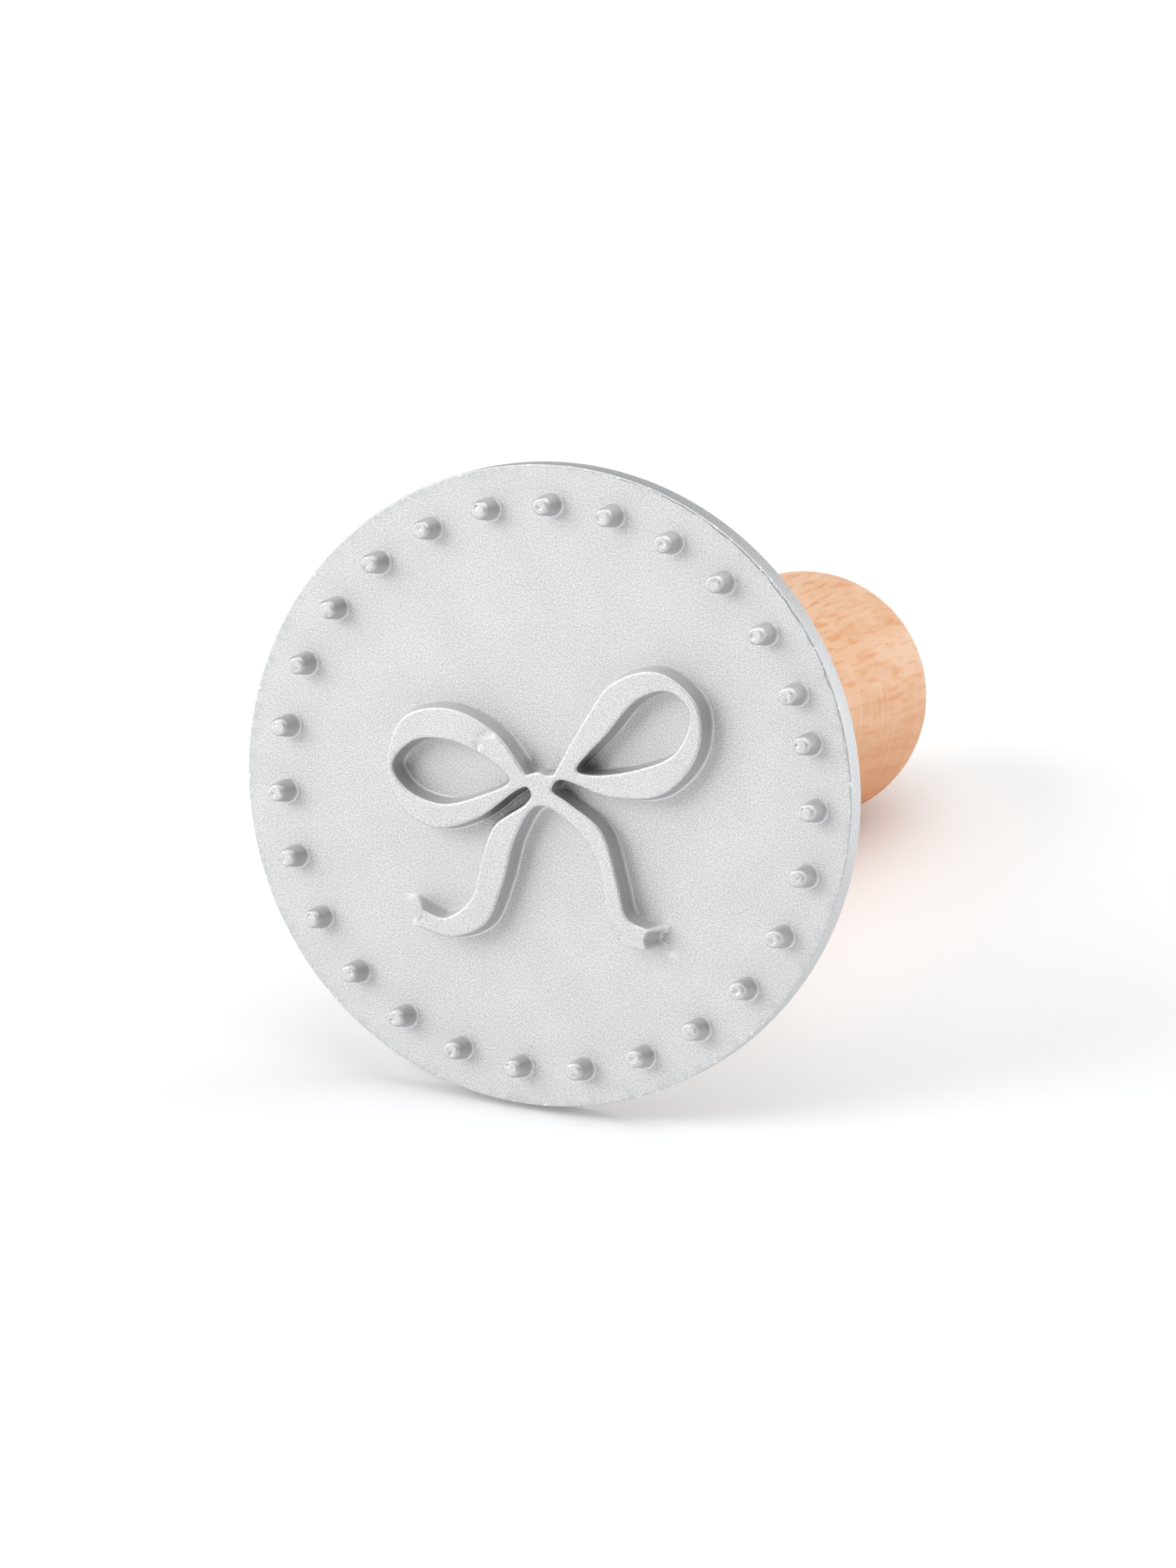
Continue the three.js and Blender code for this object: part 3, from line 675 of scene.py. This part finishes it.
# %% Two dents in the left loop
KNOCKS = np.array([(-6.4, 5.2), (-7.4, 3.8)])
KNOCK_SIZES = np.array([(0.75, 0.4), (0.35, 0.6)])
KNOCK_DEPTHS = np.array([0.16, 0.12])
KNOCK_FLOOR = 2.0
for patch in bow_patches:
    off = (patch["points"][:, None, :2] - KNOCKS) / KNOCK_SIZES
    hollow = (KNOCK_DEPTHS * np.exp(-np.sum(off**2, axis=2))).sum(axis=1)
    share = np.clip((patch["points"][:, 2] - KNOCK_FLOOR) / (BOW_HEIGHT - KNOCK_FLOOR), 0, 1)
    patch["points"][:, 2] -= hollow * share
deepest = BOW_HEIGHT - bow_patches[1]["points"][:, 2].min()
print("the deepest point of the dents lies", round(float(deepest), 3), "mm down")

# %% [markdown]
# The border is a ring of little pegs. Each has a nearly flat top, a round shoulder, a tapered wall and
# the same ledge at its foot as the bow. The foot lies a little to the right of the top, so that the
# peg leans. A cone with a bevel would stand straight, so the peg is a grid: the bow's profile carried
# round a circle, with every row shifted by its height.

# %% One peg
DOT_BASE_RADIUS = 1.3
DOT_TOP_RADIUS = 0.95
DOT_HEIGHT = 2.54
DOT_ROUNDING = (0.45, 0.75)
DOT_SIDES = 32
DOT_TOP_ROWS = 6
DOT_TOP_SHIFT = np.array([-0.15, -0.08])
DOT_FOOT_SHIFT = np.array([0.28, -0.03])
dot_draft = DOT_BASE_RADIUS - DOT_TOP_RADIUS
dot_line, dot_wall, dot_highlight = wall_profile(DOT_HEIGHT, dot_draft, DOT_ROUNDING)
turn = np.linspace(2 * np.pi, 0, DOT_SIDES + 1)
round_dot = np.stack([np.cos(turn), np.sin(turn)], axis=1)
dot_reach, dot_facing = ledged(dot_line, dot_draft, round_dot, LEDGE_SIDE)
top_rows = np.linspace(0, 1, DOT_TOP_ROWS + 1)[:-1, None] * (DOT_TOP_RADIUS + dot_reach[0])
dot_radius = np.concatenate([top_rows, DOT_TOP_RADIUS + dot_reach])
dot_height = np.concatenate([np.full(DOT_TOP_ROWS, DOT_HEIGHT), dot_line[:, 1]])
dot_wall = np.concatenate([np.zeros(DOT_TOP_ROWS), dot_wall])[:, None]
dot_highlight = np.concatenate([np.zeros(DOT_TOP_ROWS), dot_highlight])[:, None] * dot_facing
risen = np.clip(dot_height / DOT_HEIGHT, 0, 1)[:, None, None]
dot_shift = DOT_FOOT_SHIFT + (DOT_TOP_SHIFT - DOT_FOOT_SHIFT) * risen
dot_flat = dot_radius[:, :, None] * round_dot + dot_shift
dot_shape = np.dstack([dot_flat, np.broadcast_to(dot_height[:, None], dot_radius.shape)])
print("a peg has", dot_shape.shape[0], "rows of", DOT_SIDES, "points")

# %% [markdown]
# On a rough casting no two tops are alike, so each peg gets a shallow pit of its own, with painted shade
# darkening its bottom. Copies of one mesh would be lighter, but the repeat would show. The pits are
# drawn by chance from a fixed seed, so that they come out the same each time.

# %% The border of pegs
DOT_COUNT = 27
DOT_SPACING = 13.45
DOT_FIRST_ANGLE = 17.7
DOT_CIRCLE = 30.7
PIT_OFFSET = 0.45
PIT_DEPTHS = (0.05, 0.14)
PIT_SIZES = (0.2, 0.4)
PIT_FLOOR = 2
PIT_FADE = 0.5
PIT_SHADE = 0.35
PIT_SHADE_FADE = 0.4
SEED = 11


def flat_ring(patch, sides, row):
    """One row of a patch that goes once round, seen from the front. Its last point repeats the first and
    is left out."""
    return patch["points"].reshape(-1, sides + 1, 3)[row, :-1, :2]


chance = np.random.default_rng(SEED)
dot_angles = np.radians(DOT_FIRST_ANGLE - DOT_SPACING * np.arange(DOT_COUNT))
dot_patches = []
for centre in DOT_CIRCLE * np.stack([np.cos(dot_angles), np.sin(dot_angles)], axis=1):
    pit = DOT_TOP_SHIFT + chance.uniform(-PIT_OFFSET, PIT_OFFSET, 2)
    depth = chance.uniform(*PIT_DEPTHS)
    size = chance.uniform(*PIT_SIZES)
    shape = dot_shape.copy()
    in_pit = np.exp(-np.sum((shape[:, :, :2] - pit) ** 2, axis=2) / size**2)
    shape[:, :, 2] -= depth * in_pit * np.clip((shape[:, :, 2] - PIT_FLOOR) / PIT_FADE, 0, 1)
    shape[:, :, :2] += centre
    # Painted shade at the bottom of the pit, carried by the deep attribute.
    pit_shade = PIT_SHADE * in_pit**3 * np.clip((shape[:, :, 2] - PIT_FLOOR) / PIT_SHADE_FADE, 0, 1)
    dot_patches.append(grid(shape, wall=dot_wall, edge=dot_highlight, deep=pit_shade))
dot_feet = [flat_ring(patch, DOT_SIDES, -1) for patch in dot_patches]
print("pegs:", len(dot_patches))

# %% [markdown]
# The rim, the back and the boss of the plate are turned shapes. Blender's Screw modifier could spin
# a profile round the axis. A grid of the same points is just as short, and its rings are at hand for
# the flat faces that have to meet them.

# %% Rim, back and boss
PLATE_RADIUS = 34.92
PLATE_THICKNESS = 3
RIM_RADIUS = 0.14
RIM_SMOOTHNESS = 0.65
RIM_SIDES = 720
BOSS_HEIGHT = 8
BOSS_RADIUS = 9
BOSS_FILLET = 2.5
BOSS_EDGE = 0.4
BOSS_SIDES = 144
BOSS_TOP = -PLATE_THICKNESS - BOSS_HEIGHT
EDGE_STEPS, FILLET_STEPS = 5, 10
THREAD_RADIUS = 4
THREAD_GAP = 0.2
MOUTH_BREAK = 0.6
mouth_edge = [THREAD_RADIUS + THREAD_GAP + MOUTH_BREAK, BOSS_TOP]


def turned(profile, sides, **finish_and_light):
    """A surface of revolution: every point of the profile, [radius, height], goes once round."""
    angle = np.linspace(0, 2 * np.pi, sides + 1)
    radius, height = np.array(profile, float).T[:, :, None]
    places = np.broadcast_arrays(radius * np.cos(angle), radius * np.sin(angle), height)
    return grid(np.stack(places, axis=2), **finish_and_light)


rim_middle = PLATE_RADIUS - RIM_RADIUS
rim_profile = np.vstack([
    arc((rim_middle, -RIM_RADIUS), RIM_RADIUS, 90, 0, EDGE_STEPS),
    arc((rim_middle, RIM_RADIUS - PLATE_THICKNESS), RIM_RADIUS, 0, -90, EDGE_STEPS)])
rim = turned(rim_profile[::-1], RIM_SIDES, wall=RIM_SMOOTHNESS)
boss_foot = (BOSS_RADIUS + BOSS_FILLET, -PLATE_THICKNESS - BOSS_FILLET)
back = turned(np.vstack([
    [mouth_edge],
    arc((BOSS_RADIUS - BOSS_EDGE, BOSS_TOP + BOSS_EDGE), BOSS_EDGE, -90, 0, EDGE_STEPS),
    arc(boss_foot, BOSS_FILLET, 180, 90, FILLET_STEPS)]), BOSS_SIDES)
print("rim and back:", len(rim["faces"]) + len(back["faces"]), "faces")

# %% [markdown]
# The hole in the boss is tapped, so its wall is a screw surface. Blender can wind a thread with the
# Screw modifier too, but its ends stay open. Here every row climbs by one pitch as it goes round, and
# rows that pass an end stop there, so the thread runs out flat and can be closed.

# %% The tapped hole
THREAD_DEPTH = 0.7
THREAD_PITCH = 1.25
HOLE_FLOOR = -2.2
QUARTER = 0.25


def screw_surface(radius, depth, pitch, low, high, sides=48, steps=12):
    """A right-handed thread: every row climbs one pitch in a turn, so its radius depends on the row
    alone: a flat root, a flank, a flat crest and a flank. Rows that pass an end stop there."""
    turn = np.linspace(0, 1, sides + 1)
    first, last = np.floor(low / pitch) - 1, np.ceil(high / pitch)
    rows = np.arange(first, last + HAIR, 1 / steps)[:, None] * pitch
    height = np.clip(rows + turn * pitch, low, high)
    phase = (height / pitch - turn) % 1
    ridge = np.clip(np.minimum(phase - QUARTER, 1 - phase) / QUARTER, 0, 1)
    r = radius - depth + depth * ridge
    angle = 2 * np.pi * turn
    return np.stack([r * np.cos(angle), r * np.sin(angle), height], axis=2)


hole = screw_surface(
    THREAD_RADIUS + THREAD_GAP, THREAD_DEPTH, THREAD_PITCH, BOSS_TOP + MOUTH_BREAK, HOLE_FLOOR,
    sides=BOSS_SIDES)
mouth = turned([mouth_edge], BOSS_SIDES)["points"][None]
floor_row = np.zeros((1, BOSS_SIDES + 1, 3)) + [0, 0, HOLE_FLOOR]
hole_patch = grid(np.concatenate([mouth, hole, floor_row])[:, ::-1])
print("the tapped hole is", round(HOLE_FLOOR - BOSS_TOP, 2), "mm deep")

# %% [markdown]
# The plate is one casting, so its patches become one closed skin. Separate objects that only touch
# would look much the same, but light leaks through their seams and they have no volume. The shared
# edges are welded, and sharp edges are marked by their angle. Each piece then rides on its body of the
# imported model.

# %% From patches to a piece
WELD = 0.002 * MM
CREASE_DEGREES = 38
SQUARE_TO_AXIS = 0.99999


def piece(name, patches, material, body, node):
    """One object from patches: their points are stacked, carried into the frame and welded, and
    edges that turn by more than the crease angle stay sharp. Faces that lie square to the axis are
    flat, so that the long triangles of the plate don't pick up shade from its fillets."""
    starts = np.cumsum([0] + [len(p["points"]) for p in patches])
    points = in_frame(np.vstack([p["points"] for p in patches]))
    faces = [row for start, p in zip(starts, patches) for row in (p["faces"] + start).tolist()]
    mesh = bpy.data.meshes.new(name)
    mesh.from_pydata(points, [], faces)
    for label in FINISH_AND_PAINTED_LIGHT:
        values = mesh.attributes.new(label, "FLOAT", "POINT").data
        values.foreach_set("value", np.concatenate([p[label] for p in patches]).astype(np.float32))
    welded = bmesh.new()
    welded.from_mesh(mesh)
    bmesh.ops.remove_doubles(welded, verts=welded.verts, dist=WELD)
    bmesh.ops.dissolve_degenerate(welded, edges=welded.edges, dist=WELD / 10)
    open_edges = sum(not edge.is_manifold for edge in welded.edges)
    volume = welded.calc_volume(signed=True) / MM**3
    welded.to_mesh(mesh)
    welded.free()
    normals = np.empty(len(mesh.polygons) * 3, np.float32)
    mesh.polygons.foreach_get("normal", normals)
    level = np.abs(normals.reshape(-1, 3) @ OUT) > SQUARE_TO_AXIS
    mesh.set_sharp_from_angle(angle=np.radians(CREASE_DEGREES))
    mesh.polygons.foreach_set("use_smooth", ~level)
    mesh.materials.append(material)
    made = bpy.data.objects.new(name, mesh)
    bpy.context.scene.collection.objects.link(made)
    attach(made, body)
    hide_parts(node)
    print(name, len(mesh.polygons), "faces,", round(volume, 1), "mm3,", open_edges, "open edges")


face_rings = [flat_ring(rim, RIM_SIDES, -1), *dot_feet, bow_foot]
back_rings = [flat_ring(rim, RIM_SIDES, 0), flat_ring(back, BOSS_SIDES, -1)]
face = filled(face_rings, 0, deep=bow_deep)
back_face = filled(back_rings, -PLATE_THICKNESS, up=False)
piece("stamp_casting", [face, back_face, rim, back, hole_patch, *bow_patches, *dot_patches],
      cast_aluminium, "plate", "stamp_plate")

# %% [markdown]
# The handle is one turning: a round end, a long swell down to a neck, and a foot that is bored for
# the stud. A turner works to a profile, and so does this cell. A subdivided cylinder could be pushed
# into shape, but its round end would not be a true one.

# %% Handle
SEAT_GAP = 0.25
WASHER_THICKNESS = 1.6
HANDLE_FOOT = BOSS_TOP - SEAT_GAP - WASHER_THICKNESS - SEAT_GAP
HANDLE_LENGTH = 79.73
HANDLE_FOOT_RADIUS = 9.5
HANDLE_FOOT_BREAK = 0.8
HANDLE_SIDES = 160
NECK_RADIUS = 8.4
NECK_FROM_FOOT = 11
KNOB_RADIUS = 14.22
KNOB_END_LENGTH = 12.33
STUD_BORE = 4.25
BORE_BREAK = 0.3
SHANK_LENGTH = 3
WOOD_THREAD_LENGTH = 24
POINT_LENGTH = 4
STUD_END = HANDLE_FOOT - (SHANK_LENGTH + WOOD_THREAD_LENGTH)
KNOB_STEPS, SWELL_STEPS, NECK_STEPS, FOOT_STEPS = 40, 60, 16, 6
knob_middle = HANDLE_FOOT - HANDLE_LENGTH + KNOB_END_LENGTH
neck = HANDLE_FOOT - NECK_FROM_FOOT
collar = HANDLE_FOOT - HANDLE_FOOT_BREAK


def swell(first, last, steps):
    """Half a wave between two points of a profile: the radius is level at both ends."""
    t = np.linspace(0, 1, steps + 1)[:, None]
    (r0, z0), (r1, z1) = first, last
    return np.hstack([r0 + (r1 - r0) * (1 - np.cos(np.pi * t)) / 2, z0 + (z1 - z0) * t])


quarter_turn = np.radians(np.linspace(0, 90, KNOB_STEPS + 1))
knob_end = np.stack([
    KNOB_RADIUS * np.sin(quarter_turn), knob_middle - KNOB_END_LENGTH * np.cos(quarter_turn)], axis=1)
handle_profile = np.vstack([
    knob_end,
    swell((KNOB_RADIUS, knob_middle), (NECK_RADIUS, neck), SWELL_STEPS)[1:],
    swell((NECK_RADIUS, neck), (HANDLE_FOOT_RADIUS, collar), NECK_STEPS)[1:],
    arc((HANDLE_FOOT_RADIUS - HANDLE_FOOT_BREAK, collar), HANDLE_FOOT_BREAK, 0, 90, FOOT_STEPS)[1:],
    [[STUD_BORE + BORE_BREAK, HANDLE_FOOT], [STUD_BORE, HANDLE_FOOT - BORE_BREAK]],
    [[STUD_BORE, STUD_END + POINT_LENGTH], [0, STUD_END - SEAT_GAP]],
])
piece("turned_handle", [turned(handle_profile, HANDLE_SIDES)], beech, "grip", "handle")

# %% [markdown]
# The stud joins the plate to the handle and only shows when the plate is unscrewed. It has a fine
# thread for the metal, a plain shank, and a coarse thread with a point for the wood. The threads could
# be a bump in the material, but their outline shows against the light, so they are screw surfaces,
# pressed in to a bevel at one end and to a cone at the other.

# %% Stud
STUD_END_GAP = 0.5
STUD_FRONT = HOLE_FLOOR - STUD_END_GAP
STUD_SIDES = 48
SHANK_RADIUS = 3.6
SHANK_END = HANDLE_FOOT - SHANK_LENGTH
WOOD_PITCH = 3
WOOD_DEPTH = 1


def pressed(surface, limit):
    """A surface whose points lie no further from the axis than a limit: those beyond it move in."""
    radius = np.linalg.norm(surface[:, :, :2], axis=2, keepdims=True)
    return np.concatenate([surface[:, :, :2] * np.minimum(1, limit / radius), surface[:, :, 2:]], axis=2)


machine = screw_surface(
    THREAD_RADIUS, THREAD_DEPTH, THREAD_PITCH, HANDLE_FOOT, STUD_FRONT, sides=STUD_SIDES)
bevel = np.clip(STUD_FRONT - machine[:, :, 2:] + THREAD_RADIUS - THREAD_DEPTH, 0, THREAD_RADIUS)
coarse = screw_surface(
    THREAD_RADIUS, WOOD_DEPTH, WOOD_PITCH, STUD_END, SHANK_END, sides=STUD_SIDES)
cone = np.clip((coarse[:, :, 2:] - STUD_END) * THREAD_RADIUS / POINT_LENGTH, 0, THREAD_RADIUS)
shank = turned([[SHANK_RADIUS, SHANK_END], [SHANK_RADIUS, HANDLE_FOOT]], STUD_SIDES)
shank_rows = shank["points"].reshape(2, STUD_SIDES + 1, 3)
end_row = np.zeros((1, STUD_SIDES + 1, 3))
stud_rows = np.concatenate([
    end_row + [0, 0, STUD_END], pressed(coarse, cone), shank_rows, pressed(machine, bevel),
    end_row + [0, 0, STUD_FRONT]])
piece("hanger_bolt", [grid(stud_rows)], zinc, "grip", "threaded_stud")

# %% [markdown]
# A flat washer lies between the boss and the wood and spreads the pressure. It is punched from sheet,
# and its edges are tumbled round. A cylinder with a hole and a bevel would do. Four arcs, one at each
# edge, give the same shape as a closed profile that is turned once round.

# %% Washer
WASHER_RADIUS = 8
WASHER_EDGE = 0.3
WASHER_SIDES = 96
washer_front = BOSS_TOP - SEAT_GAP - WASHER_EDGE
washer_back = BOSS_TOP - SEAT_GAP - WASHER_THICKNESS + WASHER_EDGE
washer_line = np.vstack([
    arc((radius, height), WASHER_EDGE, start, start + 90, EDGE_STEPS)
    for radius, height, start in (
        (WASHER_RADIUS - WASHER_EDGE, washer_back, -90), (WASHER_RADIUS - WASHER_EDGE, washer_front, 0),
        (STUD_BORE + WASHER_EDGE, washer_front, 90), (STUD_BORE + WASHER_EDGE, washer_back, 180))])
washer_profile = np.vstack([washer_line, washer_line[:1]])
piece("flat_washer", [turned(washer_profile, WASHER_SIDES)], zinc, "loose_washer", "washer")

# %% [markdown]
# The floor is a plain sheet of matte white acrylic, lit a little from below so that shadows stay soft.
# It could be a shadow catcher over a white picture, but that wouldn't throw light back on the stamp.
# So it is a real disc with a faint glow and hardly any shine.

# %% Floor
FLOOR_RADIUS_M = 0.62
FLOOR_SIDES = 128
GLOW = 0.1
acrylic, tree, place = new_material("matte_white_acrylic")
shader = add(tree, "BsdfPrincipled", {
    "Base Color": linear("#ECEEEF"), "Roughness": 0.9, "Specular IOR Level": 0.1,
    "Emission Color": (1, 1, 1, 1), "Emission Strength": GLOW})
add(tree, "OutputMaterial", {"Surface": shader})
round_floor = FLOOR_RADIUS_M * arc((0, 0), 1, 0, 360, FLOOR_SIDES)[:-1]
floor_mesh = bpy.data.meshes.new("floor")
floor_mesh.from_pydata(np.pad(round_floor, ((0, 0), (0, 1))), [], [list(range(len(round_floor)))])
floor_mesh.materials.append(acrylic)
floor = bpy.data.objects.new("floor", floor_mesh)
bpy.context.scene.collection.objects.link(floor)
print("the floor is", 2 * FLOOR_RADIUS_M, "m across")

# %% [markdown]
# The room is white along the horizon, so that the floor's edge hardly shows in a low view, and dim
# above. A picture of a studio could light the scene, but it would bring reflections that can't be set
# one by one. Two shades that change with the height of the view are enough.

# %% Room
WHITE_UP_TO, DIM_FROM = np.sin(np.radians([3.5, 11]))
HORIZON_STRENGTH = 1.0
CEILING_STRENGTH = 0.1
world = bpy.data.worlds.new("white_room")
world.use_nodes = True
tree = world.node_tree
tree.nodes.clear()
rise = add(tree, "SeparateXYZ", {"Vector": add(tree, "TexCoord", out="Generated")}, out="Z")
strength = add(tree, "MapRange", {
    "Value": rise, "From Min": WHITE_UP_TO, "From Max": DIM_FROM,
    "To Min": HORIZON_STRENGTH, "To Max": CEILING_STRENGTH})
background = add(tree, "Background", {"Color": (1, 1, 1, 1), "Strength": strength})
add(tree, "OutputWorld", {"Surface": background})
bpy.context.scene.world = world
print("the room is dim from", round(float(np.degrees(np.arcsin(DIM_FROM))), 1), "degrees up")

# %% [markdown]
# The main light is a large soft one from the left, a little above and in front. A second hangs
# overhead, and a third on the right and behind lights the floor. Small lamps would give hard shadows,
# and a sun would light all sides of the floor alike. Square area lights act as a studio's softboxes
# do: the larger the box, the softer the shadow.

# %% Softboxes
SOFTBOXES = {
    "key_softbox": {"direction": (-0.66, -0.52, 0.53), "distance": 2.0, "size": 1.5, "watts": 29},
    "top_softbox": {"direction": (0.15, 0.1, 1.0), "distance": 1.2, "size": 1.5, "watts": 13},
    "back_softbox": {"direction": (0.8, 0.5, 0.45), "distance": 2.0, "size": 2.2, "watts": 22}}


def softbox(name, direction, distance, size, watts):
    """A square area light that faces the middle of the stamp's face."""
    lamp = bpy.data.lights.new(name, "AREA")
    lamp.size = size
    lamp.energy = watts
    holder = bpy.data.objects.new(name, lamp)
    way = np.array(direction) / np.linalg.norm(direction)
    holder.location = FACE_CENTRE + way * distance
    yaw = np.arctan2(way[0], -way[1])
    holder.rotation_euler = (np.pi / 2 - np.arcsin(way[2]), 0, yaw)
    bpy.context.scene.collection.objects.link(holder)


for name, settings in SOFTBOXES.items():
    softbox(name, **settings)
bpy.context.scene.view_settings.view_transform = "Standard"
print("lights:", {name: settings["watts"] for name, settings in SOFTBOXES.items()}, "watts")
